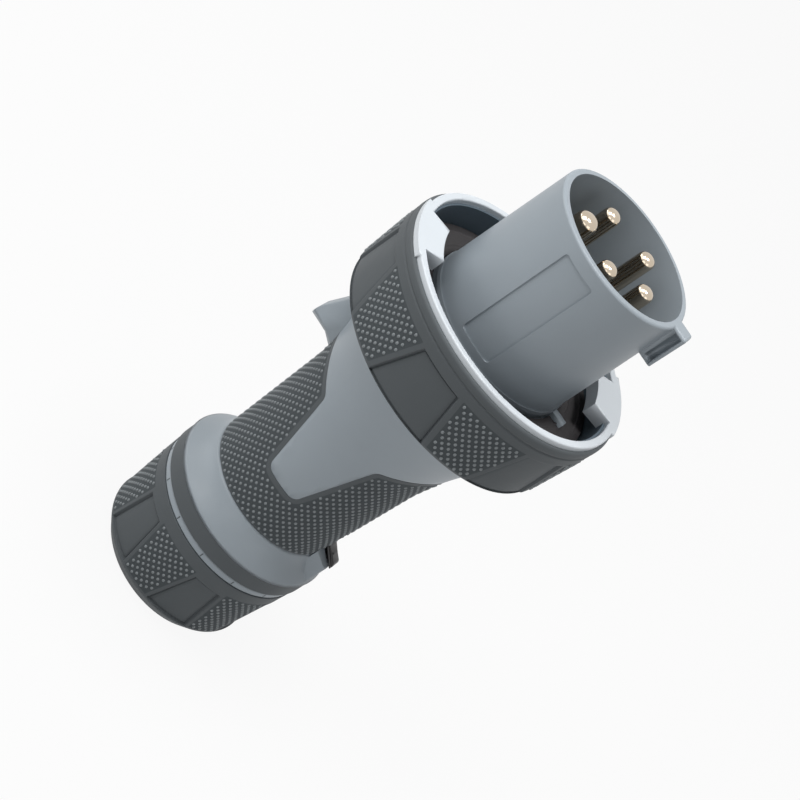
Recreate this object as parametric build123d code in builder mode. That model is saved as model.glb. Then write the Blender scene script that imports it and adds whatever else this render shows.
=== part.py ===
"""Industrial pin-and-sleeve plug, 63 A, five pins, with a bayonet locking ring.

Frame: millimetres, +Z from the cable end up to the pins. The origin is the middle of
the gland nut's end face, on which the plug stands. +X points at the key of the shroud.
"""
from build123d import *
from math import cos, radians, sin, tan
import os

# Heights along the axis, stacked from the cable end up
nut_length = 46.5
nut_gap = 0.3
end_band_height = 8.7
flare_height = 12.5
handle_length = 113.0
ring_length = 38.7
shroud_reach = 52.8

# Shroud, its key and the recess for a nameplate
shroud_radius = 35.5
shroud_taper = 0.8
shroud_wall = 2.8
shroud_depth = 61.0
rim_round = 1.2
key_height = 6.7
key_width = 8.4
key_length = 18.5
key_wall = 1.5
key_pocket_depth = 4.5
plate_angle = -93.5
plate_width = 17.0
plate_length = 52.5
plate_depth = 0.8
plate_top = 6.2
plate_round = 1.5
foot_bead_stand = 0.6
foot_bead_height = 2.0
foot_rib_length = 6.6
foot_rib_width = 4.2
foot_rib_height = 5.0

# Foot flange behind the shroud, and the spigot that plugs into the handle
flange_overhang = 16.9
flange_height = 6.0
gasket_height = 3.0
gasket_lip = 0.6
gasket_drop = 13.2
spigot_step = 1.5
spigot_wall = 3.3
spigot_length = 13.0
seal_radius = 1.0
seal_drop = 6.0
ledge_height = 4.0
ledge_width = 2.7

# Contacts: four phase and neutral pins and a thicker earth pin on one circle
pin_circle_radius = 18.4
pin_count = 5
pin_start_angle = -81.0
pin_radius = 4.0
earth_radius = 5.0
pin_root_step = 0.4
tip_recess = 1.0
tip_roundness = 0.72
carrier_height = 8.0
barrel_radius = 6.4
barrel_length = 25.0
wire_bore_radius = 3.9
wire_bore_depth = 17.0
terminal_screw_radius = 2.5
terminal_screw_length = 8.5
terminal_screw_drop = 13.0
terminal_screw_stand = 4.0
block_play = 0.8
block_height = 24.0
block_chamfer = 1.5
block_window = 7.0
block_core_wall = 2.5
carrier_circle_radius = 25.0
carrier_screw_bite = 6.0
screw_radius = 2.0
screw_head_radius = 3.8
screw_head_height = 2.2
screw_slot_width = 0.8
screw_slot_depth = 1.0
housing_screw_land = 4.5
housing_screw_count = 4
housing_screw_angle = 45.0
housing_screw_depth = 11.0

# Locking ring: hard ring, dark sleeve inside, soft grip outside
ring_play = 0.8
sleeve_wall = 1.0
ring_wall = 1.8
ring_face_width = 3.5
ring_face_round = 0.7
ring_rim_height = 2.5
ring_swell = 1.6
ring_crown = 0.2
ring_taper = 1.4
ring_back_chamfer = 1.0
web_height = 4.2
web_reach = 8.0
web_gap = 0.3
lug_middle_angle = 26.1
lug_span_angle = 27.0
lug_room_angle = 1.0
lug_reach = 9.4
lug_height = 6.5
lug_plate_angle = 37.0
lug_plate_reach = 1.1
ring_band_height = 12.5
groove_depth = 0.5
pad_count = 6
ring_pad_start_angle = 30.0
ring_pad_front_angle = 22.0
ring_pad_back_angle = 36.0
pad_depth = 1.1

# Handle: hard shell with a soft grip moulded into it
shoulder_step = 3.8
shoulder_height = 4.2
mouth_step = 4.7
mouth_drop = 3.5
neck_drop = 46.5
neck_step = 1.8
waist_radius = 32.9
flare_rise = 8.7
grip_thickness = 2.2
shell_wall = 2.6
panel_top_width = 36.0
panel_foot_width = 17.4
panel_shoulder_drop = 37.3
panel_length = 39.2
panel_side_drop = 28.6
panel_round = 4.0
end_band_wall = 3.0
end_band_step = 0.3
end_band_round = 0.6
fin_stand = 5.1
fin_width = 11.0
fin_root_drop = 3.0
fin_root_inset = 4.0
fin_back = 32.5
fin_tip = 4.2
fin_ledge = 9.6
fin_ledge_fall = 0.3
fin_skirt = 3.5
fin_skirt_inset = 1.0
fin_bevel = 2.6

# Slide lock on the low end of the handle, and the block that guides it
slide_width = 5.0
slide_length = 9.0
slide_stand = 8.3
slide_sink = 2.3
slide_lean = 5.8
slide_travel = 7.0
slide_drop = 0.7
slide_round = 2.2
slide_rib_count = 2
slide_rib_width = 0.7
slide_rib_stand = 0.5
slide_neck_width = 3.6
slide_foot_width = 9.0
slide_foot_height = 1.2
tongue_width = 3.6
tongue_height = 2.6
tongue_stand = 1.7
guide_width = 12.0
guide_foot_width = 18.0
guide_stand = 7.4
guide_round = 1.5

# Cable gland: threaded spigot, soft seal, clamping cage, slip washer and nut
thread_step = 1.9
thread_length = 23.5
thread_wall = 5.0
gland_seat_width = 3.0
gland_seat_height = 4.0
seal_length = 20.5
seal_wall = 9.0
seal_chamfer = 2.0
cage_lip = 2.0
cage_wall = 3.5
cage_draft = 2.0
cage_inner_draft = 1.5
cage_collar = 2.7
cage_collar_inset = 1.0
cage_shoulder = 3.0
cage_fingers = 8
cage_slot = 3.0
washer_height = 1.2
washer_play = 0.6
washer_lap = 1.0
nut_floor = 12.2
nut_hole_play = 2.5
nut_hole_flare = 3.0
nut_wall = 4.8
nut_core_draft = 1.0
nut_step = 0.5
nut_taper = 2.15
nut_end_height = 6.0
nut_end_inset = 5.0
nut_round = 1.5
bead_step = 0.3
bead_height = 3.5
nut_pad_start_angle = -2.0
nut_pad_front_angle = 21.0
nut_pad_back_angle = 33.0
nut_pad_drop = 12.5
nut_pad_length = 27.0

# Clearances
running_clearance = 0.06
slide_clearance = 0.15
seat_clearance = 0.1
axial_gap = 0.3
cut_margin = 1.0

# Heights worked out from the stack
z_band = nut_length + nut_gap
z_flare = z_band + end_band_height
z_grip = z_flare + flare_height
z_ring_back = z_flare + handle_length
z_ring_front = z_ring_back + ring_length
z_rim = z_ring_front + shroud_reach
z_floor = z_rim - shroud_depth
z_carrier = z_floor - carrier_height
z_ledge = z_carrier - ledge_height
z_gasket = z_ring_front - gasket_drop
z_flange = z_gasket - gasket_height
z_mate = z_flange - flange_height
z_shoulder = z_mate - web_height - 2 * web_gap
z_mouth = z_ring_back - mouth_drop
z_neck = z_ring_back - neck_drop
z_thread = z_flare - thread_length

# Radii in front of the web of the ring, stacked outward from the shroud
shroud_bore = shroud_radius - shroud_wall
foot_radius = shroud_radius + shroud_taper
foot_bead_radius = foot_radius + foot_bead_stand
spigot_bore = shroud_bore + spigot_step
spigot_radius = spigot_bore + spigot_wall
block_radius = spigot_bore - block_play
housing_circle_radius = spigot_radius + housing_screw_land
flange_radius = shroud_radius + flange_overhang
ring_bore = flange_radius + ring_play + sleeve_wall
ring_outer = ring_bore + ring_wall
ring_face_radius = ring_bore + ring_face_width
ring_grip_radius = ring_face_radius + ring_swell
ring_back_radius = ring_grip_radius - ring_taper
web_bore = ring_bore - web_reach

# Radii of the handle and the gland, from the mouth behind the web and from the waist
shoulder_radius = web_bore + shoulder_step
mouth_radius = shoulder_radius - mouth_step
neck_radius = waist_radius + neck_step
flare_radius = waist_radius + flare_rise
chamber_radius = waist_radius - grip_thickness - shell_wall
fin_reach = mouth_radius + fin_stand
slide_bed = waist_radius - slide_sink
slide_reach = waist_radius + slide_stand
tongue_floor = waist_radius + tongue_stand
guide_reach = waist_radius + guide_stand
end_band_radius = flare_radius - end_band_step
nut_grip_radius = end_band_radius - nut_step
nut_foot_radius = nut_grip_radius - nut_taper
bead_radius = nut_grip_radius - bead_step
thread_radius = waist_radius - thread_step
gland_bore = thread_radius - thread_wall
gland_seat = gland_bore - gland_seat_width
cable_radius = gland_bore - seal_wall
nut_hole = cable_radius + nut_hole_play
nut_mouth = nut_hole + nut_hole_flare
nut_core_radius = thread_radius + running_clearance + nut_wall
beyond = 2 * flange_radius

os.makedirs("parts", exist_ok=True)


def sector(inner, outer, middle, width):
    """Ring sector as a sketch, about the axis, its middle and width in degrees."""
    start = middle - width / 2
    with BuildSketch() as shape:
        with BuildLine():
            near = CenterArc((0, 0), inner, start, width)
            far = CenterArc((0, 0), outer, start, width)
            Line(near @ 0, far @ 0)
            Line(near @ 1, far @ 1)
        make_face()
    return shape.sketch


def radial_plane(angle, height):
    """Plane that faces outward from the axis, with its own Y up the plug."""
    out = Vector(cos(radians(angle)), sin(radians(angle)), 0)
    return Plane(origin=(0, 0, height), x_dir=Vector(-out.Y, out.X, 0), z_dir=out)


def pad_wedges(start, count, low, high, width_low, width_high):
    """Prisms that run outward from the axis, one for each pad, wider at one end."""
    half_low = tan(radians(width_low / 2))
    half_high = tan(radians(width_high / 2))
    with BuildPart() as wedges:
        for k in range(count):
            plane = radial_plane(start + k * 360 / count, 0)
            with BuildSketch(plane.offset(1)):
                with BuildLine():
                    Polyline(
                        (-half_low, low),
                        (half_low, low),
                        (half_high, high),
                        (-half_high, high),
                        close=True,
                    )
                make_face()
            with BuildSketch(plane.offset(beyond)):
                with BuildLine():
                    Polyline(
                        (-half_low * beyond, low),
                        (half_low * beyond, low),
                        (half_high * beyond, high),
                        (-half_high * beyond, high),
                        close=True,
                    )
                make_face()
            loft()
    return wedges.part


# What the nameplate recess takes out: a plate outside a cone that lies one depth inside the collar
z_plate = z_rim - plate_top - plate_length / 2
with BuildPart() as plate_room:
    with BuildSketch(radial_plane(plate_angle, z_plate).offset(shroud_bore)):
        RectangleRounded(plate_width, plate_length, plate_round)
    extrude(amount=shroud_bore)
    with BuildSketch(Plane.XZ):
        with BuildLine():
            Polyline(
                (0, z_rim),
                (shroud_radius - plate_depth, z_rim),
                (foot_radius - plate_depth, z_floor),
                (0, z_floor),
                close=True,
            )
        make_face()
    revolve(axis=Axis.Z, mode=Mode.SUBTRACT)

# Front moulding: the shroud with its key, the foot flange and the spigot in one piece
with BuildPart() as front_moulding:
    with BuildSketch(Plane.XZ):
        with BuildLine():
            Polyline(
                (shroud_bore, z_rim),
                (shroud_radius, z_rim),
                (foot_radius, z_floor - rim_round),
                (foot_bead_radius, z_floor - rim_round),
                (foot_bead_radius, z_floor - rim_round - foot_bead_height),
                (foot_radius, z_floor - rim_round - foot_bead_height),
                (foot_radius, z_flange),
                (flange_radius, z_flange),
                (flange_radius, z_mate),
                (spigot_radius, z_mate),
                (spigot_radius, z_mate - spigot_length),
                (spigot_bore, z_mate - spigot_length),
                (spigot_bore, z_ledge),
                (shroud_bore - ledge_width, z_ledge),
                (shroud_bore - ledge_width, z_carrier),
                (shroud_bore, z_carrier),
                close=True,
            )
        make_face()
    revolve(axis=Axis.Z)
    # The key, hollow on its near side, and the small rib at the foot
    with BuildSketch(Plane.XY.offset(z_rim)) as key_face:
        with Locations((shroud_bore, 0)):
            Rectangle(key_height + shroud_wall, key_width, align=(Align.MIN, Align.CENTER))
        fillet(key_face.vertices().group_by(Axis.X)[-1], radius=rim_round)
    extrude(amount=-key_length)
    with BuildSketch(Plane.XY.offset(z_flange)):
        with Locations((shroud_radius, 0)):
            Rectangle(
                foot_bead_radius + foot_rib_length - shroud_radius,
                foot_rib_width,
                align=(Align.MIN, Align.CENTER),
            )
    extrude(amount=foot_rib_height)
    with BuildSketch(Plane.XZ.offset(key_width / 2)):
        with Locations((shroud_radius + key_height / 2, z_rim - key_length / 2)):
            Rectangle(key_height - 2 * key_wall, key_length - 2 * key_wall)
    extrude(amount=-key_pocket_depth, mode=Mode.SUBTRACT)
    rims = edges().filter_by(GeomType.CIRCLE).group_by(Axis.Z)[-1].sort_by(SortBy.RADIUS)
    fillet([rims[0], rims[-1]], radius=rim_round)
    add(plate_room.part, mode=Mode.SUBTRACT)
    # Groove for the seal on the spigot
    with BuildSketch(Plane.XY.offset(z_mate - seal_drop - seal_radius)):
        Circle(spigot_radius)
        Circle(spigot_radius - 2 * seal_radius + seat_clearance / 2, mode=Mode.SUBTRACT)
    extrude(amount=2 * seal_radius, mode=Mode.SUBTRACT)
    # Countersunk holes for the screws into the handle
    with Locations(Plane.XY.offset(z_flange)):
        with PolarLocations(housing_circle_radius, housing_screw_count, start_angle=housing_screw_angle):
            CounterSinkHole(screw_radius, screw_head_radius, depth=flange_height)

# The moulding is kept as two solids that meet in the plane of the flange: the shroud and its foot
with BuildPart() as front_shroud:
    add(front_moulding.part)
    split(bisect_by=Plane.XY.offset(z_flange), keep=Keep.TOP)
front_shroud.part.label = "front_shroud"
export_step(front_shroud.part, "parts/front_shroud.step")
with BuildPart() as shroud_foot:
    add(front_moulding.part)
    split(bisect_by=Plane.XY.offset(z_flange), keep=Keep.BOTTOM)
shroud_foot.part.label = "shroud_foot"
export_step(shroud_foot.part, "parts/shroud_foot.step")

# Face gasket on the foot flange, with two sealing lips and a gap for the foot rib
with BuildPart() as face_gasket:
    with BuildSketch(Plane.XZ):
        with Locations(((foot_bead_radius + flange_radius) / 2, z_flange + gasket_height / 2)):
            Rectangle(flange_radius - foot_bead_radius - 2 * gasket_lip, gasket_height)
        with Locations(
            (foot_bead_radius + gasket_drop / 3, z_gasket),
            (flange_radius - gasket_drop / 3, z_gasket),
        ):
            RegularPolygon(gasket_lip, 6)
    revolve(axis=Axis.Z)
    with BuildSketch(Plane.XY.offset(z_flange)):
        Rectangle(
            foot_bead_radius + foot_rib_length + seat_clearance,
            foot_rib_width + 2 * seat_clearance,
            align=(Align.MIN, Align.CENTER),
        )
    extrude(amount=2 * gasket_height, mode=Mode.SUBTRACT)
face_gasket.part.label = "face_gasket"
export_step(face_gasket.part, "parts/face_gasket.step")

# Seal between the spigot and the handle
with BuildPart() as housing_seal:
    with BuildSketch(Plane.XZ):
        with Locations((spigot_radius - seal_radius + seat_clearance / 2, z_mate - seal_drop)):
            Circle(seal_radius - seat_clearance / 4)
    revolve(axis=Axis.Z)
housing_seal.part.label = "housing_seal"
export_step(housing_seal.part, "parts/housing_seal.step")

# Pin carrier: the insulating plate at the bottom of the shroud
pin_angles = [pin_start_angle + k * 360 / pin_count for k in range(pin_count)]
earth_angle = pin_angles[-1]
carrier_screw_angles = [pin_start_angle + 180 / pin_count, pin_start_angle + 180]
with BuildSketch() as root_holes:
    with PolarLocations(pin_circle_radius, pin_count, start_angle=pin_start_angle):
        Circle(pin_radius + pin_root_step)
    with PolarLocations(pin_circle_radius, 1, start_angle=earth_angle):
        Circle(earth_radius + pin_root_step)
with BuildPart() as pin_carrier:
    with BuildSketch(Plane.XY.offset(z_carrier)):
        Circle(shroud_bore - seat_clearance)
        add(root_holes.sketch, mode=Mode.SUBTRACT)
    extrude(amount=carrier_height)
    # Threaded holes for the screws that hold the terminal block
    for angle in carrier_screw_angles:
        with BuildSketch(Plane.XY.offset(z_carrier)):
            with PolarLocations(carrier_circle_radius, 1, start_angle=angle):
                Circle(screw_radius)
        extrude(amount=carrier_screw_bite, mode=Mode.SUBTRACT)
pin_carrier.part.label = "pin_carrier"
export_step(pin_carrier.part, "parts/pin_carrier.step")


def contact_pin(angle, radius):
    """Turned contact pin: root, domed shank, and a terminal barrel with a wire bore."""
    out = Vector(cos(radians(angle)), sin(radians(angle)), 0)
    seat = Plane(origin=pin_circle_radius * out + Vector(0, 0, z_carrier), x_dir=out, z_dir=(0, 0, 1))
    with BuildPart() as pin:
        with BuildSketch(seat):
            Circle(radius + pin_root_step)
        extrude(amount=carrier_height)
        with BuildSketch(seat):
            Circle(radius)
        extrude(amount=z_rim - tip_recess - z_carrier)
        fillet(edges().group_by(Axis.Z)[-1], radius=radius * tip_roundness)
        with BuildSketch(seat):
            Circle(barrel_radius)
        extrude(amount=-barrel_length)
        with BuildSketch(seat.offset(-barrel_length)):
            Circle(wire_bore_radius)
        extrude(amount=wire_bore_depth, mode=Mode.SUBTRACT)
        # Threaded hole for the terminal screw, from the outside into the wire bore
        with BuildSketch(radial_plane(angle, z_carrier - terminal_screw_drop).offset(pin_circle_radius)):
            Circle(terminal_screw_radius)
        extrude(amount=barrel_radius + cut_margin, mode=Mode.SUBTRACT)
    return pin.part


pin_names = ["line_pin_1", "line_pin_2", "line_pin_3", "neutral_pin", "earth_pin"]
for name, angle in zip(pin_names, pin_angles):
    pin = contact_pin(angle, earth_radius if name == "earth_pin" else pin_radius)
    pin.label = name
    export_step(pin, f"parts/{name}.step")

# Terminal block: holds the barrels from behind and clamps the ledge of the shroud
with BuildPart() as terminal_block:
    with BuildSketch(Plane.XY.offset(z_carrier - axial_gap / 3)):
        Circle(shroud_bore - ledge_width - seat_clearance)
    extrude(amount=-ledge_height)
    with BuildSketch(Plane.XY.offset(z_ledge - axial_gap / 3)):
        Circle(block_radius)
    extrude(amount=-block_height)
    chamfer(edges().group_by(Axis.Z)[0], length=block_chamfer)
    # Barrel bores, open to the side for the terminal screws
    with BuildSketch(Plane.XY.offset(z_carrier)):
        with PolarLocations(pin_circle_radius, pin_count, start_angle=pin_start_angle):
            Circle(barrel_radius + slide_clearance)
    extrude(amount=-2 * block_height, mode=Mode.SUBTRACT)
    with BuildSketch(Plane.XY.offset(z_carrier - terminal_screw_drop + block_window / 2)):
        with PolarLocations(block_radius, pin_count, start_angle=pin_start_angle):
            Rectangle(2 * (block_radius - pin_circle_radius), block_window)
    extrude(amount=-2 * block_height, mode=Mode.SUBTRACT)
    # Wiring hollow in the middle
    with BuildSketch(Plane.XY.offset(z_ledge - axial_gap / 3 - block_height)):
        Circle(pin_circle_radius - barrel_radius - block_core_wall)
    extrude(amount=block_height / 2, mode=Mode.SUBTRACT)
    # Stepped holes for the two screws into the carrier
    for angle in carrier_screw_angles:
        with BuildSketch(Plane.XY.offset(z_carrier)):
            with PolarLocations(carrier_circle_radius, 1, start_angle=angle):
                Circle(screw_radius + seat_clearance)
        extrude(amount=-2 * block_height, mode=Mode.SUBTRACT)
        with BuildSketch(Plane.XY.offset(z_ledge - axial_gap / 3 - block_height / 2)):
            with PolarLocations(carrier_circle_radius, 1, start_angle=angle):
                Circle(screw_head_radius)
        extrude(amount=-block_height, mode=Mode.SUBTRACT)
terminal_block.part.label = "terminal_block"
export_step(terminal_block.part, "parts/terminal_block.step")

# Terminal screws, one in each barrel
with BuildPart() as terminal_screws:
    for angle in pin_angles:
        head = radial_plane(angle, z_carrier - terminal_screw_drop).offset(
            pin_circle_radius + barrel_radius + terminal_screw_stand
        )
        with BuildSketch(head):
            Circle(terminal_screw_radius)
        extrude(amount=-terminal_screw_length)
        with BuildSketch(head):
            Rectangle(2 * terminal_screw_radius, screw_slot_width)
        extrude(amount=-screw_slot_depth, mode=Mode.SUBTRACT)
terminal_screws.part.label = "terminal_screws"
export_step(terminal_screws.part, "parts/terminal_screws.step")

# Screws that hold the terminal block to the carrier
with BuildPart() as carrier_screws:
    z_head = z_ledge - axial_gap / 3 - block_height / 2
    for angle in carrier_screw_angles:
        with BuildSketch(Plane.XY.offset(z_head)):
            with PolarLocations(carrier_circle_radius, 1, start_angle=angle):
                Circle(screw_head_radius - seat_clearance)
        extrude(amount=-screw_head_height)
        with BuildSketch(Plane.XY.offset(z_head)):
            with PolarLocations(carrier_circle_radius, 1, start_angle=angle):
                Circle(screw_radius)
        extrude(amount=z_carrier + carrier_screw_bite - axial_gap - z_head)
        with BuildSketch(Plane.XY.offset(z_head - screw_head_height)):
            with PolarLocations(carrier_circle_radius, 1, start_angle=angle):
                Rectangle(2 * screw_radius, screw_slot_width)
        extrude(amount=screw_slot_depth, mode=Mode.SUBTRACT)
carrier_screws.part.label = "carrier_screws"
export_step(carrier_screws.part, "parts/carrier_screws.step")

# Screws through the foot flange into the handle, under the gasket
with BuildPart() as housing_screws:
    for k in range(housing_screw_count):
        out = radial_plane(housing_screw_angle + k * 360 / housing_screw_count, z_flange).z_dir
        head = Plane(origin=housing_circle_radius * out + Vector(0, 0, z_flange))
        with BuildSketch(head.offset(-flange_height - housing_screw_depth)):
            Circle(screw_radius)
        extrude(amount=housing_screw_depth + flange_height)
        with BuildSketch(head):
            Circle(screw_head_radius - seat_clearance)
        with BuildSketch(head.offset(screw_radius - screw_head_radius)):
            Circle(screw_radius)
        loft()
        with BuildSketch(head):
            Rectangle(2 * screw_radius, screw_slot_width)
        extrude(amount=-screw_slot_depth, mode=Mode.SUBTRACT)
housing_screws.part.label = "housing_screws"
export_step(housing_screws.part, "parts/housing_screws.step")

# Locking ring: hard ring with its pale rim, the running web and two bayonet lugs
z_rim_back = z_ring_front - ring_rim_height
lug_angles = [lug_middle_angle, lug_middle_angle + 180]
with BuildPart() as locking_ring:
    with BuildSketch(Plane.XZ):
        with BuildLine():
            Polyline(
                (ring_bore, z_ring_front),
                (ring_face_radius, z_ring_front),
                (ring_face_radius, z_rim_back),
                (ring_outer, z_rim_back),
                (ring_outer, z_ring_back + web_height),
                (ring_bore, z_ring_back + web_height),
                (ring_bore, z_mate - web_gap - web_height),
                (web_bore, z_mate - web_gap - web_height),
                (web_bore, z_mate - web_gap),
                (ring_bore, z_mate - web_gap),
                close=True,
            )
        make_face()
    revolve(axis=Axis.Z)
    face_edges = edges().filter_by(GeomType.CIRCLE).group_by(Axis.Z)[-1]
    fillet(face_edges, radius=ring_face_round)
    with BuildSketch(Plane.XY.offset(z_ring_front)):
        for angle in lug_angles:
            add(sector(ring_bore - lug_reach, ring_bore + ring_wall / 2, angle, lug_span_angle))
    extrude(amount=-lug_height)
    with BuildSketch(Plane.XY.offset(z_ring_front)):
        for angle in lug_angles:
            add(sector(ring_outer, ring_face_radius + lug_plate_reach, angle, lug_plate_angle))
    extrude(amount=-ring_rim_height)
locking_ring.part.label = "locking_ring"
export_step(locking_ring.part, "parts/locking_ring.step")

# Dark sleeve inside the ring, cut out for the lugs
with BuildPart() as ring_sleeve:
    with BuildSketch(Plane.XY.offset(z_mate)):
        Circle(ring_bore)
        Circle(ring_bore - sleeve_wall, mode=Mode.SUBTRACT)
    extrude(amount=z_rim_back - z_mate)
    with BuildSketch(Plane.XY.offset(z_ring_front)):
        for angle in lug_angles:
            add(sector(ring_bore - lug_reach, ring_outer, angle, lug_span_angle + lug_room_angle))
    extrude(amount=-lug_height - seat_clearance, mode=Mode.SUBTRACT)
ring_sleeve.part.label = "ring_sleeve"
export_step(ring_sleeve.part, "parts/ring_sleeve.step")

# Soft grip round the ring: a smooth front band with a groove, and six sunk pads
z_band_back = z_ring_front - ring_band_height
with BuildPart() as ring_pads:
    add(
        pad_wedges(
            ring_pad_start_angle,
            pad_count,
            z_ring_back - cut_margin,
            z_band_back,
            ring_pad_back_angle,
            ring_pad_front_angle,
        )
    )
    with BuildSketch(Plane.XZ):
        with BuildLine():
            Polyline(
                (0, z_ring_back - 2 * cut_margin),
                (ring_back_radius - pad_depth, z_ring_back - 2 * cut_margin),
                (ring_back_radius - pad_depth, z_ring_back),
                (ring_grip_radius - pad_depth, z_band_back),
                (ring_grip_radius - pad_depth, z_band_back + cut_margin),
                (0, z_band_back + cut_margin),
                close=True,
            )
        make_face()
    revolve(axis=Axis.Z, mode=Mode.SUBTRACT)
with BuildPart() as ring_grip:
    with BuildSketch(Plane.XZ):
        with BuildLine():
            Line((ring_outer, z_rim_back), (ring_face_radius + lug_plate_reach, z_rim_back))
            ThreePointArc(
                (ring_face_radius + lug_plate_reach, z_rim_back),
                (ring_grip_radius, z_rim_back - ring_rim_height),
                (ring_grip_radius - ring_crown, z_band_back),
            )
            Polyline(
                (ring_grip_radius - ring_crown, z_band_back),
                (ring_back_radius, z_ring_back + ring_back_chamfer),
                (ring_back_radius - ring_back_chamfer, z_ring_back),
                (ring_bore, z_ring_back),
                (ring_bore, z_ring_back + web_height),
                (ring_outer, z_ring_back + web_height),
                (ring_outer, z_rim_back),
            )
        make_face()
    revolve(axis=Axis.Z)
    add(ring_pads.part, mode=Mode.SUBTRACT)
    with BuildSketch(Plane.XZ):
        with Locations((ring_grip_radius, (z_rim_back + z_band_back) / 2)):
            Circle(groove_depth)
    revolve(axis=Axis.Z, mode=Mode.SUBTRACT)
ring_grip.part.label = "ring_grip"
export_step(ring_grip.part, "parts/ring_grip.step")


def handle_line(inset):
    """Outer line of the handle from its mouth to the end of the flare, moved inward by inset."""
    mouth = Vector(mouth_radius - inset, z_mouth)
    neck = Vector(neck_radius - inset, z_neck)
    waist = Vector(waist_radius - inset, z_grip)
    flare = Vector(flare_radius - inset, z_flare)
    Spline(mouth, neck, tangents=((-0.43, -1), (-0.1, -1)))
    Line(neck, waist)
    Spline(waist, flare, tangents=((0.25, -1), (0.85, -1)))


# Soft grip: everything between the pale front boundary and the flare
with BuildPart() as grip_blank:
    with BuildSketch(Plane.XZ):
        with BuildLine():
            handle_line(0)
            Line((flare_radius, z_flare), (0, z_flare))
            Line((0, z_flare), (0, z_mouth))
            Line((0, z_mouth), (mouth_radius, z_mouth))
        make_face()
    revolve(axis=Axis.Z)
    with BuildSketch(Plane.XZ):
        with BuildLine():
            handle_line(grip_thickness)
            Line((flare_radius - grip_thickness, z_flare), (0, z_flare))
            Line((0, z_flare), (0, z_mouth))
            Line((0, z_mouth), (mouth_radius - grip_thickness, z_mouth))
        make_face()
    revolve(axis=Axis.Z, mode=Mode.SUBTRACT)
    with BuildSketch(Plane.XY.offset(z_flare)):
        Circle(beyond)
    extrude(amount=flare_height, mode=Mode.SUBTRACT)
    # Pale front of the handle, with one long panel on the near and one on the far side
    z_panel = z_ring_back - panel_shoulder_drop
    with BuildSketch(Plane.XZ) as panel_face:
        with BuildLine():
            Polyline(
                (-beyond, z_ring_back - panel_side_drop),
                (-neck_radius, z_ring_back - panel_side_drop),
                (-panel_top_width / 2, z_panel),
                (-panel_foot_width / 2, z_panel - panel_length),
                (panel_foot_width / 2, z_panel - panel_length),
                (panel_top_width / 2, z_panel),
                (neck_radius, z_ring_back - panel_side_drop),
                (beyond, z_ring_back - panel_side_drop),
                (beyond, z_rim),
                (-beyond, z_rim),
                close=True,
            )
        make_face()
        fillet(panel_face.vertices().group_by(Axis.Z)[0], radius=panel_round)
    extrude(amount=beyond, both=True, mode=Mode.SUBTRACT)

# Room in the handle for the slide lock
slide_low = z_grip - slide_drop
slide_high = slide_low + slide_length + slide_travel + axial_gap
foot_top = (chamber_radius**2 - (slide_foot_width / 2) ** 2) ** 0.5 - axial_gap
slot_start = chamber_radius / 2
with BuildPart() as slide_room:
    with BuildSketch(Plane.YZ.offset(slide_bed)):
        with Locations((0, slide_low - axial_gap)):
            Rectangle(
                slide_width + 4 * slide_clearance,
                slide_high - slide_low + 2 * axial_gap,
                align=(Align.CENTER, Align.MIN),
            )
    extrude(amount=beyond)
    with BuildSketch(Plane.YZ.offset(slot_start)):
        with Locations((0, slide_low - axial_gap)):
            Rectangle(
                slide_neck_width + 2 * slide_clearance,
                slide_high - slide_low + 2 * axial_gap,
                align=(Align.CENTER, Align.MIN),
            )
    extrude(amount=slide_bed - slot_start)
    with BuildSketch(Plane.YZ.offset(tongue_floor - slide_clearance)):
        with Locations((0, z_band)):
            Rectangle(
                tongue_width + 2 * slide_clearance,
                slide_high - z_band,
                align=(Align.CENTER, Align.MIN),
            )
    extrude(amount=tongue_height + 2 * slide_clearance)

# Holding fin behind the ring, with a bevel along the near side of its trailing edge
z_fin = z_ring_back - fin_back - fin_tip
with BuildPart() as holding_fin:
    with BuildSketch(Plane.XZ):
        with BuildLine():
            Polyline(
                (-neck_radius + grip_thickness, z_mouth - fin_root_drop),
                (-mouth_radius + fin_root_inset, z_mouth - fin_root_drop),
                (-fin_reach, z_fin + fin_tip),
                (-fin_reach, z_fin),
                (-fin_reach + fin_ledge, z_fin - fin_ledge_fall),
                (-neck_radius + fin_skirt_inset, z_fin - fin_skirt),
                (-neck_radius + grip_thickness, z_fin - fin_skirt),
                close=True,
            )
        make_face()
    extrude(amount=fin_width / 2, both=True)
    trailing = faces().sort_by(Axis.Y)[0].edges().sort_by(Axis.Z)[1:3]
    chamfer(trailing, length=fin_bevel)

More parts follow.
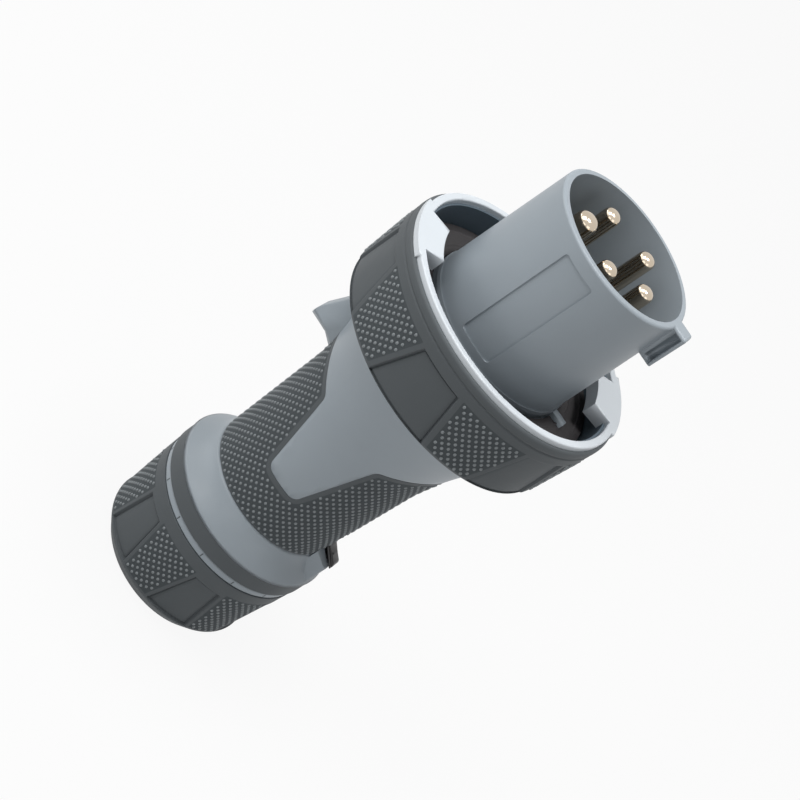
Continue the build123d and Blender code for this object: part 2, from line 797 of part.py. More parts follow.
# Hard shell of the handle
with BuildPart() as handle_shell:
    with BuildSketch(Plane.XZ):
        with BuildLine():
            handle_line(0)
            Polyline(
                (flare_radius, z_flare),
                (end_band_radius - end_band_wall, z_flare),
                (end_band_radius - end_band_wall, z_band),
                (thread_radius, z_band),
                (thread_radius, z_thread),
                (gland_bore, z_thread),
                (gland_bore, z_flare),
                (gland_seat, z_flare),
                (gland_seat, z_flare + gland_seat_height),
                (chamber_radius, z_flare + gland_seat_height),
                (chamber_radius, z_neck),
                (spigot_bore + spigot_step, z_mouth - spigot_length / 2),
                (spigot_bore + spigot_step, z_mate - spigot_length - axial_gap),
                (spigot_radius + seat_clearance / 2, z_mate - spigot_length - axial_gap),
                (spigot_radius + seat_clearance / 2, z_mate),
                (web_bore - running_clearance, z_mate),
                (web_bore - running_clearance, z_shoulder),
                (shoulder_radius, z_shoulder),
                (shoulder_radius, z_shoulder - shoulder_height),
                (mouth_radius, z_mouth),
            )
        make_face()
    revolve(axis=Axis.Z)
    add(grip_blank.part, mode=Mode.SUBTRACT)
    # Guide block that the tongue of the slide runs under
    with BuildSketch(Plane.XY.offset(z_flare)) as guide_face:
        with BuildLine():
            Polyline(
                (tongue_floor - tongue_height, -guide_foot_width / 2),
                (guide_reach, -guide_width / 2),
                (guide_reach, guide_width / 2),
                (tongue_floor - tongue_height, guide_foot_width / 2),
                close=True,
            )
        make_face()
        fillet(guide_face.vertices().group_by(Axis.X)[-1], radius=guide_round)
    extrude(amount=slide_low - axial_gap + slide_lean - z_flare)
    with BuildSketch(Plane.XZ):
        with BuildLine():
            Polyline(
                (slide_bed, slide_low + slide_lean),
                (guide_reach + cut_margin, slide_low - axial_gap),
                (guide_reach + cut_margin, slide_low + 2 * slide_lean),
                (slide_bed, slide_low + 2 * slide_lean),
                close=True,
            )
        make_face()
    extrude(amount=guide_foot_width, both=True, mode=Mode.SUBTRACT)
    add(slide_room.part, mode=Mode.SUBTRACT)
    add(holding_fin.part)
    # Pilot holes for the screws from the front
    with Locations(Plane.XY.offset(z_mate)):
        with PolarLocations(housing_circle_radius, housing_screw_count, start_angle=housing_screw_angle):
            Hole(screw_radius, depth=housing_screw_depth + cut_margin)
handle_shell.part.label = "handle_shell"
export_step(handle_shell.part, "parts/handle_shell.step")

# Soft grip of the handle: its blank, less the room of the slide and what the shell takes
with BuildPart() as handle_grip:
    add(grip_blank.part)
    add(slide_room.part, mode=Mode.SUBTRACT)
    with BuildSketch(Plane.YZ.offset(slide_bed - cut_margin)):
        with Locations((0, z_grip)):
            Rectangle(guide_foot_width, slide_low + slide_lean - z_grip, align=(Align.CENTER, Align.MIN))
    extrude(amount=beyond, mode=Mode.SUBTRACT)
    add(handle_shell.part, mode=Mode.SUBTRACT)
handle_grip.part.label = "handle_grip"
export_step(handle_grip.part, "parts/handle_grip.step")

# Soft band round the end of the handle
with BuildPart() as end_band:
    with BuildSketch(Plane.XY.offset(z_band)):
        Circle(end_band_radius)
        Circle(end_band_radius - end_band_wall, mode=Mode.SUBTRACT)
    extrude(amount=end_band_height)
    fillet(edges().group_by(Axis.Z)[0].sort_by(SortBy.RADIUS)[-1], radius=end_band_round)
end_band.part.label = "end_band"
export_step(end_band.part, "parts/end_band.step")

# Slide lock: leaning thumb lever, neck and foot that hold it in the shell, and the tongue
with BuildPart() as lock_slide:
    with BuildSketch(Plane.XZ):
        with BuildLine():
            Polyline(
                (slide_bed + axial_gap, slide_low + slide_lean + 2 * axial_gap),
                (slide_reach, slide_low + axial_gap),
                (slide_reach, slide_low + slide_length - slide_lean),
                (slide_bed + axial_gap, slide_low + slide_length),
                close=True,
            )
        make_face()
    extrude(amount=slide_width / 2, both=True)
    fillet(edges().filter_by(Axis.Y).group_by(Axis.X)[-1].sort_by(Axis.Z)[-1], radius=slide_round)
    # Ribs that run up both sides of the lever, parallel to its lean
    for k in range(slide_rib_count):
        rib_low = slide_low + 2 * axial_gap + k * 2 * slide_rib_width
        with BuildSketch(Plane.XZ):
            with BuildLine():
                Polyline(
                    (waist_radius + axial_gap, rib_low + slide_lean - slide_rib_width),
                    (slide_reach - axial_gap, rib_low),
                    (slide_reach - axial_gap, rib_low + slide_rib_width),
                    (waist_radius + axial_gap, rib_low + slide_lean),
                    close=True,
                )
            make_face()
        extrude(amount=slide_width / 2 + slide_rib_stand, both=True)
    with BuildSketch(Plane.YZ.offset(foot_top)):
        with Locations((0, slide_low + slide_lean + 2 * axial_gap)):
            Rectangle(
                slide_neck_width,
                slide_length - slide_lean - 3 * axial_gap,
                align=(Align.CENTER, Align.MIN),
            )
    extrude(amount=slide_bed + cut_margin - foot_top)
    with BuildSketch(Plane.YZ.offset(foot_top - slide_foot_height)):
        with Locations((0, slide_low + slide_lean + 2 * axial_gap)):
            Rectangle(
                slide_foot_width,
                slide_length - slide_lean - 3 * axial_gap,
                align=(Align.CENTER, Align.MIN),
            )
    extrude(amount=slide_foot_height)
    with BuildSketch(Plane.YZ.offset(tongue_floor)):
        with Locations((0, z_band + axial_gap)):
            Rectangle(
                tongue_width,
                slide_low + slide_lean - z_band,
                align=(Align.CENTER, Align.MIN),
            )
    extrude(amount=tongue_height)
lock_slide.part.label = "lock_slide"
export_step(lock_slide.part, "parts/lock_slide.step")

# Soft cable seal in the spigot, and the cage that presses it
z_cage = z_flare - seal_length
with BuildPart() as gland_seal:
    with BuildSketch(Plane.XY.offset(z_cage)):
        Circle(gland_bore - seat_clearance)
        Circle(cable_radius, mode=Mode.SUBTRACT)
    extrude(amount=seal_length - seat_clearance)
    chamfer(edges().filter_by(GeomType.CIRCLE).sort_by(SortBy.RADIUS)[:2], length=seal_chamfer)
gland_seal.part.label = "gland_seal"
export_step(gland_seal.part, "parts/gland_seal.step")

# Clamping cage: a collar on the end of the spigot, and eight fingers that bend onto the cable
z_cage_foot = nut_floor + washer_height + axial_gap
with BuildPart() as clamp_cage:
    with BuildSketch(Plane.XZ):
        with BuildLine():
            Polyline(
                (cable_radius + cage_lip, z_cage),
                (gland_bore - seat_clearance, z_cage),
                (gland_bore - seat_clearance, z_thread),
                (thread_radius - cage_collar_inset, z_thread),
                (thread_radius - cage_collar_inset, z_thread - cage_collar),
                (gland_bore, z_thread - cage_collar - cage_shoulder),
                (gland_bore - cage_draft, z_cage_foot),
                (gland_bore - cage_draft - cage_wall, z_cage_foot),
                (gland_bore - cage_draft - cage_wall + cage_inner_draft, z_thread - cage_collar),
                (cable_radius + cage_lip, z_thread),
                close=True,
            )
        make_face()
    revolve(axis=Axis.Z)
    with BuildSketch(Plane.XY.offset(z_thread - cage_collar)):
        with PolarLocations(gland_bore / 2 + cage_wall, cage_fingers):
            Rectangle(gland_bore, cage_slot)
    extrude(amount=nut_floor - z_thread, mode=Mode.SUBTRACT)
clamp_cage.part.label = "clamp_cage"
export_step(clamp_cage.part, "parts/clamp_cage.step")

# Slip washer on the floor of the nut
with BuildPart() as slip_washer:
    with BuildSketch(Plane.XY.offset(nut_floor)):
        Circle(thread_radius - washer_play)
        Circle(nut_hole + washer_lap, mode=Mode.SUBTRACT)
    extrude(amount=washer_height)
slip_washer.part.label = "slip_washer"
export_step(slip_washer.part, "parts/slip_washer.step")

# Gland nut: hard core with a pale bead, a threaded bore and a floor under the washer
z_bead = nut_length - bead_height
with BuildPart() as gland_nut:
    with BuildSketch(Plane.XZ):
        with BuildLine():
            Polyline(
                (thread_radius + running_clearance, nut_length),
                (bead_radius, nut_length),
                (bead_radius, z_bead),
                (nut_core_radius, z_bead),
                (nut_core_radius - nut_core_draft, nut_end_height),
                (nut_core_radius - nut_core_draft - nut_end_inset, 0),
                (nut_mouth, 0),
                (nut_hole, nut_hole_flare),
                (nut_hole, nut_floor),
                (thread_radius + running_clearance, nut_floor),
                close=True,
            )
        make_face()
    revolve(axis=Axis.Z)
    bead_edges = edges().filter_by(GeomType.CIRCLE).group_by(SortBy.RADIUS)[-1]
    fillet(bead_edges, radius=bead_height / 4)
gland_nut.part.label = "gland_nut"
export_step(gland_nut.part, "parts/gland_nut.step")

# Soft grip of the nut, drawn in at its end, with six sunk pads
z_pad = nut_length - nut_pad_drop
with BuildPart() as nut_pads:
    add(
        pad_wedges(
            nut_pad_start_angle,
            pad_count,
            z_pad - nut_pad_length,
            z_pad,
            nut_pad_back_angle,
            nut_pad_front_angle,
        )
    )
    with BuildSketch(Plane.XZ):
        with BuildLine():
            Polyline(
                (0, nut_end_height),
                (nut_foot_radius - pad_depth, nut_end_height),
                (nut_grip_radius - pad_depth, z_bead),
                (0, z_bead),
                close=True,
            )
        make_face()
    revolve(axis=Axis.Z, mode=Mode.SUBTRACT)
with BuildPart() as nut_grip:
    with BuildSketch(Plane.XZ):
        with BuildLine():
            Polyline(
                (nut_core_radius, z_bead),
                (nut_grip_radius, z_bead),
                (nut_foot_radius, nut_end_height),
                (nut_foot_radius - nut_end_inset, 0),
                (nut_core_radius - nut_core_draft - nut_end_inset, 0),
                (nut_core_radius - nut_core_draft, nut_end_height),
                close=True,
            )
        make_face()
    revolve(axis=Axis.Z)
    rings = edges().filter_by(GeomType.CIRCLE)
    foot_edge = rings.filter_by_position(Axis.Z, nut_end_height, nut_end_height).sort_by(SortBy.RADIUS)[-1]
    fillet(foot_edge, radius=nut_round)
    add(nut_pads.part, mode=Mode.SUBTRACT)
nut_grip.part.label = "nut_grip"
export_step(nut_grip.part, "parts/nut_grip.step")
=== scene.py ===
import bmesh
import bpy
import numpy as np
from math import radians
from mathutils import Matrix, Vector


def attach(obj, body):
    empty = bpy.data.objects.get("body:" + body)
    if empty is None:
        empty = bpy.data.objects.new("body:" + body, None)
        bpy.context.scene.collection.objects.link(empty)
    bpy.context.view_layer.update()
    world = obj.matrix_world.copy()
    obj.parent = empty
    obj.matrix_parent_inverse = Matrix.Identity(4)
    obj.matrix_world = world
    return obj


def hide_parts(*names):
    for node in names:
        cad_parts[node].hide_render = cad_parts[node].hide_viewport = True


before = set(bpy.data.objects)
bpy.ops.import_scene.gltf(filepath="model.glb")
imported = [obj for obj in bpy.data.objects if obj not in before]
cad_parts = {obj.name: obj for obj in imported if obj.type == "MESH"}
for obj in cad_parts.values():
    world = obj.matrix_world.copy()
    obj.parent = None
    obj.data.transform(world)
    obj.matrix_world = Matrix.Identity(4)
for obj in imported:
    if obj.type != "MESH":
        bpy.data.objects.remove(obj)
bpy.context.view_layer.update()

# Front shroud: the round collar that goes into a socket, with its key, the bare
# nameplate recess, the foot rib and the flange behind. One injection moulding in pale
# grey polyamide, screwed to the handle through the flange.
mm = 0.001


def linear(code):
    """Linear colour of an sRGB hex code: c / 12.92 in the dark, else ((c + 0.055) / 1.055) ** 2.4."""
    c = np.array([int(code[i:i + 2], 16) / 255 for i in (1, 3, 5)])
    c = np.where(c <= 0.04045, c / 12.92, ((c + 0.055) / 1.055) ** 2.4)
    return (*c, 1.0)


def add_node(material, kind, links=(), values=(), **settings):
    """Adds one node: its own settings, values for its inputs, and links from other outputs."""
    node = material.node_tree.nodes.new(kind)
    for key, value in settings.items():
        setattr(node, key, value)
    for key, value in dict(values).items():
        node.inputs[key].default_value = value
    for key, output in dict(links).items():
        material.node_tree.links.new(output, node.inputs[key])
    return node


tint_swing = gloss_swing = 0.05


def moulded(name, code, roughness, grain, depth, specular=0.5, edge=0.35 * mm):
    """Moulded plastic or rubber. Three noises in object space: one as fine as the grain
    raises and lowers the surface by depth, a ten times wider one shifts the roughness by
    a twentieth either way, and a cloud of 25 mm makes the colour up to 5 % lighter or
    darker. Sharp edges are shaded round over the radius edge."""
    material = bpy.data.materials.new(name)
    material.use_nodes = True
    nodes = material.node_tree.nodes
    shader = nodes["Principled BSDF"]
    shader.inputs["Roughness"].default_value = roughness
    shader.inputs["Specular IOR Level"].default_value = specular
    place = add_node(material, "ShaderNodeTexCoord").outputs["Object"]
    cloud = add_node(
        material, "ShaderNodeTexNoise", {"Vector": place}, {"Scale": 1 / (25 * mm), "Detail": 3}
    )
    colour = np.array(linear(code))
    light, dark = colour * (1 + tint_swing), colour * (1 - tint_swing)
    light[3] = dark[3] = 1
    tint = add_node(material, "ShaderNodeMix", {"Factor": cloud.outputs["Fac"]}, data_type="RGBA")
    tint.inputs[6].default_value, tint.inputs[7].default_value = dark, light
    patch = add_node(material, "ShaderNodeTexNoise", {"Vector": place}, {"Scale": 0.1 / grain, "Detail": 2})
    gloss = add_node(
        material, "ShaderNodeMapRange", {"Value": patch.outputs["Fac"]},
        {"To Min": roughness - gloss_swing, "To Max": roughness + gloss_swing},
    )
    fine = add_node(material, "ShaderNodeTexNoise", {"Vector": place}, {"Scale": 1 / grain, "Detail": 2})
    soft = add_node(material, "ShaderNodeBevel", (), {"Radius": edge}, samples=4)
    bump = add_node(
        material, "ShaderNodeBump", {"Height": fine.outputs["Fac"], "Normal": soft.outputs["Normal"]},
        {"Distance": depth, "Strength": 1.0},
    )
    links = material.node_tree.links
    links.new(tint.outputs[2], shader.inputs["Base Color"])
    links.new(gloss.outputs["Result"], shader.inputs["Roughness"])
    links.new(bump.outputs["Normal"], shader.inputs["Normal"])
    return material


# Glass-filled polyamide from a finely spark-eroded mould: satin, with broad weak
# highlights. Its real grain of about 0.1 mm is drawn at 0.7 mm so that it shows.
pale_polyamide = moulded("spark-eroded polyamide", "#939ca3", 0.42, 0.7 * mm, 0.012 * mm)


def dress(piece, material, body, slot, *nodes, marked=None):
    """Gives a piece its material, and a second one for marked faces, and its body, and hides
    the CAD nodes that it stands for. The slot is not used."""
    marks = np.zeros(len(piece.data.polygons), np.int32)
    piece.data.polygons.foreach_get("material_index", marks)
    piece.data.materials.clear()
    for each in (material, marked) if marked else (material,):
        piece.data.materials.append(each)
    piece.data.polygons.foreach_set("material_index", marks if marked else marks * 0)
    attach(piece, body)
    if nodes:
        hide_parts(*nodes)
    return piece


def softened(name, node, material, body, slot, angle=32, turned_to=0):
    """A CAD node's mesh with its doubles merged, shaded smooth except along edges that
    turn by more than angle. Flat faces keep their own normal by weight of area. Faces
    within turned_to millimetres of the axis are shaded as turned ones."""
    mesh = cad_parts[node].data.copy()
    work = bmesh.new()
    work.from_mesh(mesh)
    bmesh.ops.remove_doubles(work, verts=work.verts, dist=0.001 * mm)
    work.to_mesh(mesh)
    work.free()
    mesh.name = name
    mesh.polygons.foreach_set("use_smooth", np.ones(len(mesh.polygons), bool))
    mesh.set_sharp_from_angle(angle=radians(angle))
    piece = bpy.data.objects.new(name, mesh)
    bpy.context.scene.collection.objects.link(piece)
    weigh = piece.modifiers.new("even shading", "WEIGHTED_NORMAL")
    weigh.keep_sharp = True
    weigh.weight = 60
    if turned_to:
        swing_round(piece, turned_to * mm)
    return dress(piece, material, body, slot, node)


def swing_round(piece, limit):
    """Bakes the shading and turns the normals of faces of revolution: each corner keeps the
    rise of its normal, or of its face where that is nearly upright, and the level part
    points straight away from the axis there. A face counts when its middle lies within
    limit and it looks along its own azimuth to 14 degrees."""
    graph = bpy.context.evaluated_depsgraph_get()
    mesh = bpy.data.meshes.new_from_object(piece.evaluated_get(graph))
    mesh.name = piece.name
    piece.modifiers.clear()
    piece.data = mesh

    def read(items, key, width, kind=float):
        values = np.empty(len(items) * width, kind)
        items.foreach_get(key, values)
        return values.reshape(-1, width)

    spots = read(mesh.vertices, "co", 3)
    faces, middles = read(mesh.polygons, "normal", 3), read(mesh.polygons, "center", 3)
    nearly_upright, nearly_level = 0.1, 0.2
    normals = read(mesh.corner_normals, "vector", 3)
    owner = np.repeat(np.arange(len(faces)), read(mesh.polygons, "loop_total", 1, np.int32)[:, 0])
    away = spots[read(mesh.loops, "vertex_index", 1, np.int32)[:, 0], :2]
    away /= np.linalg.norm(away, axis=1, keepdims=True).clip(1e-9)
    level = np.linalg.norm(faces[:, :2], axis=1)
    distance = np.linalg.norm(middles[:, :2], axis=1)
    facing = (faces[:, :2] * middles[:, :2]).sum(1) / (level * distance).clip(1e-12)
    turned = (level > nearly_level) & (distance < limit) & (np.abs(facing) > np.cos(radians(14)))
    upright = (np.abs(faces[:, 2]) < nearly_upright)[owner]
    rise = np.where(upright, faces[owner, 2], normals[:, 2]).clip(-1, 1)
    flat = np.sqrt(1 - rise ** 2) * np.sign(facing[owner])
    swung = np.concatenate([away * flat[:, None], rise[:, None]], 1)
    mesh.normals_split_custom_set(np.where(turned[owner, None], swung, normals).tolist())


softened("shroud_moulding", "front_shroud", pale_polyamide, "housing", "shell_light", turned_to=37)
softened("foot_moulding", "shroud_foot", pale_polyamide, "housing", "shell_light")

# Pin carrier and the contacts: an insulating plate moulded in the same pale polyamide,
# and five solid brass pins pressed through it, turned, domed at the tip and nickel
# plated.
softened("carrier_plate", "pin_carrier", pale_polyamide, "housing", "shell_light")


# At scale 1 the wave texture has 20 bands in 2 pi units.
bands_per_unit = 20 / (2 * np.pi)


def plated(name, code, roughness, ring_pitch):
    """Turned and plated metal: faint rings along Z, one each ring_pitch, raised by two
    micrometres, and a noise of 6 mm that makes the gloss uneven."""
    material = bpy.data.materials.new(name)
    material.use_nodes = True
    shader = material.node_tree.nodes["Principled BSDF"]
    shader.inputs["Base Color"].default_value = linear(code)
    shader.inputs["Metallic"].default_value = 1.0
    place = add_node(material, "ShaderNodeTexCoord").outputs["Object"]
    wave = add_node(
        material, "ShaderNodeTexWave", {"Vector": place},
        {"Scale": 1 / ring_pitch / bands_per_unit, "Distortion": 1.5, "Detail": 2},
        bands_direction="Z",
    )
    haze = add_node(material, "ShaderNodeTexNoise", {"Vector": place}, {"Scale": 1 / (6 * mm), "Detail": 3})
    gloss = add_node(
        material, "ShaderNodeMapRange", {"Value": haze.outputs["Fac"]},
        {"To Min": roughness - 0.04, "To Max": roughness + 0.06},
    )
    bump = add_node(material, "ShaderNodeBump", {"Height": wave.outputs["Fac"]}, {"Distance": 0.002 * mm})
    links = material.node_tree.links
    links.new(gloss.outputs["Result"], shader.inputs["Roughness"])
    links.new(bump.outputs["Normal"], shader.inputs["Normal"])
    return material


# Bright nickel on turned brass: mirror-like with a warm tone. Turning marks of 0.1 mm
# are drawn nearly a millimetre apart.
turning_pitch = 0.9425 * mm
bright_nickel = plated("bright nickel plate on turned brass", "#c9bba8", 0.14, turning_pitch)
for contact in ("line_pin_1", "line_pin_2", "line_pin_3", "neutral_pin", "earth_pin"):
    softened(contact + "_turned", contact, bright_nickel, "housing", "nickel_plate")

# Face gasket and the hidden parts behind it: the gasket with two lips, the seal ring on
# the spigot, the terminal block, and the screws. Black nitrile rubber, dark polyamide and
# zinc-plated steel, fitted by hand when the plug is wired.
# Nitrile rubber: matt and nearly black.
nitrile = moulded("nitrile rubber", "#373536", 0.62, 0.8 * mm, 0.01 * mm, 0.3)
# Dark polyamide of the parts that nobody sees in use: plain moulded finish.
dark_polyamide = moulded("dark moulded polyamide", "#3a3d40", 0.5, 0.8 * mm, 0.01 * mm)
# Bright zinc plate on steel screws: greyer and duller than the nickel.
bright_zinc = plated("bright zinc plate on steel", "#b4b6b6", 0.3, turning_pitch)
softened("gasket_ring", "face_gasket", nitrile, "housing", "seal_black", angle=65, turned_to=60)
softened("spigot_seal", "housing_seal", nitrile, "housing", "seal_black")
softened("block_moulding", "terminal_block", dark_polyamide, "housing", "carrier_dark")
for screws in ("terminal_screws", "carrier_screws", "housing_screws"):
    softened(screws + "_plated", screws, bright_zinc, "housing", "zinc_steel")

# Locking ring: a hard ring whose pale front face shows round the gap, with two bayonet
# lugs that reach inward, and a dark sleeve inside. Polyamide, turned by hand on the web
# behind the flange.
# Pale polyamide of the trim: the same moulding grade in a lighter grey.
pale_trim = moulded("pale trim polyamide", "#ccd2d7", 0.4, 0.7 * mm, 0.01 * mm)
# Smooth elastomer of the sleeve: slate grey, dull, no grain to be seen.
sleeve_rubber = moulded("smooth slate elastomer", "#55626c", 0.55, 0.9 * mm, 0.008 * mm, 0.4)
softened("ring_core", "locking_ring", pale_trim, "locking_ring", "rim_pale", turned_to=60)
softened("ring_lining", "ring_sleeve", sleeve_rubber, "locking_ring", "sleeve_dark", turned_to=60)

# Grip of the locking ring: soft elastomer moulded over the hard ring, with a smooth
# front band and a groove, six sunk thumb pads, and raised dots between the pads.
# Thermoplastic elastomer: matt and a little waxy, like soft rubber.
grip_elastomer = moulded("matt grip elastomer", "#4f5457", 0.62, 0.9 * mm, 0.02 * mm, 0.35)
# The same elastomer between the dots, rougher, and in a darker grey that is painted shade
# falling between the dots.
field_shade_elastomer = moulded("elastomer with painted shade between the dots", "#484d50", 0.8, 0.8 * mm, 0.03 * mm, 0.25)
# The dots: the same elastomer, smoother, and in a lighter grey that is a painted highlight.
dot_highlight_elastomer = moulded("elastomer of the dots with painted highlight", "#787e81", 0.42, 0.8 * mm, 0.005 * mm, 0.5)


def eased(points, cut, steps=5):
    """A closed line with its corners rounded. Round corner P it follows
    (1 - s)^2 A + 2 s (1 - s) P + s^2 B, with A and B on the two legs, cut away from P."""
    corner = np.asarray(points, float)
    back = np.roll(corner, 1, 0) - corner
    ahead = np.roll(corner, -1, 0) - corner
    size_back = np.linalg.norm(back, axis=1, keepdims=True)
    size_ahead = np.linalg.norm(ahead, axis=1, keepdims=True)
    reach = np.broadcast_to(np.asarray(cut, float).reshape(-1, 1), (len(corner), 1))
    reach = np.minimum(reach, 0.45 * np.minimum(size_back, size_ahead))
    a = (corner + back / size_back * reach)[:, None]
    b = (corner + ahead / size_ahead * reach)[:, None]
    s = np.linspace(0, 1, steps + 1)[None, :, None]
    return ((1 - s) ** 2 * a + 2 * s * (1 - s) * corner[:, None] + s ** 2 * b).reshape(-1, 2)


def divided(line, step, *fine):
    """A closed line with each leg cut into equal parts no longer than step, or than a
    quarter of it where the leg lies between the two heights of a fine pair."""
    leg = np.roll(line, -1, 0) - line
    middle = line[:, 1] + leg[:, 1] / 2
    steps = np.full(len(line), float(step))
    for low, high in fine:
        steps[(middle > low) & (middle < high)] = step / 4
    parts = np.ceil(np.linalg.norm(leg, axis=1) / steps).astype(int).clip(1)
    k = np.arange(parts.sum()) - np.repeat(np.cumsum(parts) - parts, parts)
    return np.repeat(line, parts, 0) + np.repeat(leg / parts[:, None], parts, 0) * k[:, None]


def smooth_step(value, start, end):
    """0 before start, 1 after end, and 3 t^2 - 2 t^3 between them."""
    t = np.clip((value - start) / (end - start), 0, 1)
    return t * t * (3 - 2 * t)


def closed_skin(name, radius, angle, height, marks=None):
    """A mesh from three arrays of one shape, rows along the section and columns round the
    axis, both closed on themselves: x = r cos(a), y = r sin(a), z = height. Marks, of the
    same shape, give each face its material."""
    points = np.stack([radius * np.cos(angle), radius * np.sin(angle), height], -1)
    rows, columns = radius.shape
    index = np.arange(rows * columns).reshape(rows, columns)
    right = np.roll(index, -1, 1)
    quads = np.stack([index, right, np.roll(right, -1, 0), np.roll(index, -1, 0)], -1).reshape(-1, 4)
    return mesh_piece(name, points.reshape(-1, 3), quads, marks)


def mesh_piece(name, points, faces, marks=None):
    """An object from points in millimetres: doubles merged, faces outward, shaded smooth."""
    mesh = bpy.data.meshes.new(name)
    mesh.from_pydata((np.asarray(points) * mm).tolist(), [], [list(f) for f in faces])
    if marks is not None:
        mesh.polygons.foreach_set("material_index", np.ascontiguousarray(marks, np.int32).ravel())
    work = bmesh.new()
    work.from_mesh(mesh)
    bmesh.ops.remove_doubles(work, verts=work.verts, dist=0.001 * mm)
    bmesh.ops.recalc_face_normals(work, faces=work.faces)
    work.to_mesh(mesh)
    work.free()
    mesh.polygons.foreach_set("use_smooth", np.ones(len(mesh.polygons), bool))
    mesh.set_sharp_from_angle(angle=radians(50))
    piece = bpy.data.objects.new(name, mesh)
    bpy.context.scene.collection.objects.link(piece)
    return piece


pad_count = 6
pad_sector = 360.0 / pad_count
pad_sink = 1.1
pad_wall = 0.5
crease_depth = 0.5
crease_middle, crease_half = 0.7, 0.45
field_margin = 2.2
edge_inside, edge_outside = 1.3, 0.3


def grip_with_pads(name, section, pads, out, shut_low, field_low, field_high):
    """A turned grip with six sunk pads and dotted fields between them. Columns run with the
    slanted pad edges: across a sector the knots lie at -h + i, h - i, h + o, h + f,
    60 - h - f, 60 - h - o and 60 - h + i degrees, where h is the half width at that height,
    i is 1.3 mm, o is 0.3 mm and f is the field's margin. Inside is the least distance to
    the pad's edges: over the wall the depth grows to the pad's, and a crease of parabolic
    section runs round at its foot. Only points farther out than out change. Faces of the
    field are marked. Pads are the first one's angle, their lower and upper ends, and their
    half widths there in degrees."""
    first, low, high, half_low, half_high = pads
    r, z = section[:, :1], section[:, 1:]
    half = half_low + (half_high - half_low) * np.clip((z - low) / (high - low), 0, 1)
    i, o = np.degrees(edge_inside / r.max()), np.degrees(edge_outside / r.max())
    f = field_margin
    steps = (12, 8, 2, 12, 2, 8)
    t = np.concatenate([k + np.arange(n) / n for k, n in enumerate(steps)])
    knots = np.arange(7)
    fixed = np.interp(t, knots, [i, -i, o, f, pad_sector - f, pad_sector - o, pad_sector + i])
    share = np.interp(t, knots, [-1, 1, 1, 1, -1, -1, -1])
    turn = first + np.arange(pad_count)[:, None] * pad_sector
    angle = (turn + fixed).reshape(-1)[None] + half * np.tile(share, pad_count)[None]
    off = fixed[None] + half * share[None]
    off = np.abs(np.where(off > pad_sector / 2, pad_sector - off, off))
    inside = np.minimum(np.radians(half - off) * r, high - z)
    if shut_low:
        inside = np.minimum(inside, z - low)
    crease = crease_depth * np.clip(1 - ((inside - crease_middle) / crease_half) ** 2, 0, 1)
    sunk = (pad_sink * smooth_step(inside, 0, pad_wall) + crease) * (r > out)
    next_z = np.roll(z, -1, 0)
    level = (np.minimum(z, next_z) > field_low) & (np.maximum(z, next_z) < field_high) & (r > out)
    field = level & (t >= 3) & (t < 4)
    sunk, field = np.tile(sunk, pad_count), np.tile(field, pad_count)
    return closed_skin(name, r - sunk, np.radians(angle), z + 0 * angle, field)


dot_sides, dot_root = 10, 0.2
shoulder_height, shoulder_size = 0.62, 0.72


def raised_dots(name, radius, slope, angle, height, length, width, stand):
    """Closed domes on a turned surface: an oval of ten sides 0.2 mm under the surface, the
    oval shrunk to 0.72 at 0.62 of the dome's height, and a point on top."""
    out = np.stack([np.cos(angle), np.sin(angle), -slope], -1)
    out /= np.linalg.norm(out, axis=1, keepdims=True)
    round_way = np.stack([-np.sin(angle), np.cos(angle), 0 * angle], -1)
    up = np.cross(out, round_way)
    foot = np.stack([radius * np.cos(angle), radius * np.sin(angle), height], -1)
    a = np.linspace(0, 2 * np.pi, dot_sides, endpoint=False)
    oval = (round_way[:, None] * (np.cos(a) * width / 2)[None, :, None]
            + up[:, None] * (np.sin(a) * length / 2)[None, :, None])
    centre, lift = foot[:, None], out[:, None]
    low = centre - dot_root * lift + oval
    mid = centre + shoulder_height * stand * lift + shoulder_size * oval
    points = np.concatenate([low, mid, centre + stand * lift], 1).reshape(-1, 3)
    k = np.arange(dot_sides)
    ahead = (k + 1) % dot_sides
    start = np.arange(len(angle))[:, None, None] * (2 * dot_sides + 1)
    walls = np.stack([k, ahead, dot_sides + ahead, dot_sides + k], -1)
    tops = np.stack([dot_sides + k, dot_sides + ahead, 0 * k + 2 * dot_sides], -1)
    walls, tops = (start + walls[None]).reshape(-1, 4), (start + tops[None]).reshape(-1, 3)
    feet = start[:, 0] + k[::-1][None]
    return mesh_piece(name, points, walls.tolist() + tops.tolist() + feet.tolist())


def lattice(low, high, pitch, count, phase):
    """Staggered rows of points round the axis, from low up to high: rows half a pitch
    apart, every other row shifted by half a step round."""
    rows = np.arange(low, high, pitch / 2)
    turn = phase + (np.arange(count)[None] + np.arange(len(rows))[:, None] % 2 / 2) * 360 / count
    return turn.reshape(-1), np.repeat(rows, count)


def between_pads(turn, rise, pads, clear):
    """The points of a lattice farther from each pad's middle line than the pad's half width
    at their height, the field's margin and clear together, in degrees."""
    first, low, high, half_low, half_high = pads
    half = half_low + (half_high - half_low) * (rise - low) / (high - low)
    off = np.abs((turn - first + pad_sector / 2) % pad_sector - pad_sector / 2)
    keep = off > half + field_margin + clear
    return turn[keep], rise[keep]


def on_cone(foot, edge, height):
    """Radius and slope at a height on the straight line between two points (r, z):
    r = foot r + slope (height - foot z)."""
    slope = (edge[0] - foot[0]) / (edge[1] - foot[1])
    return foot[0] + (height - foot[1]) * slope, slope + 0 * height


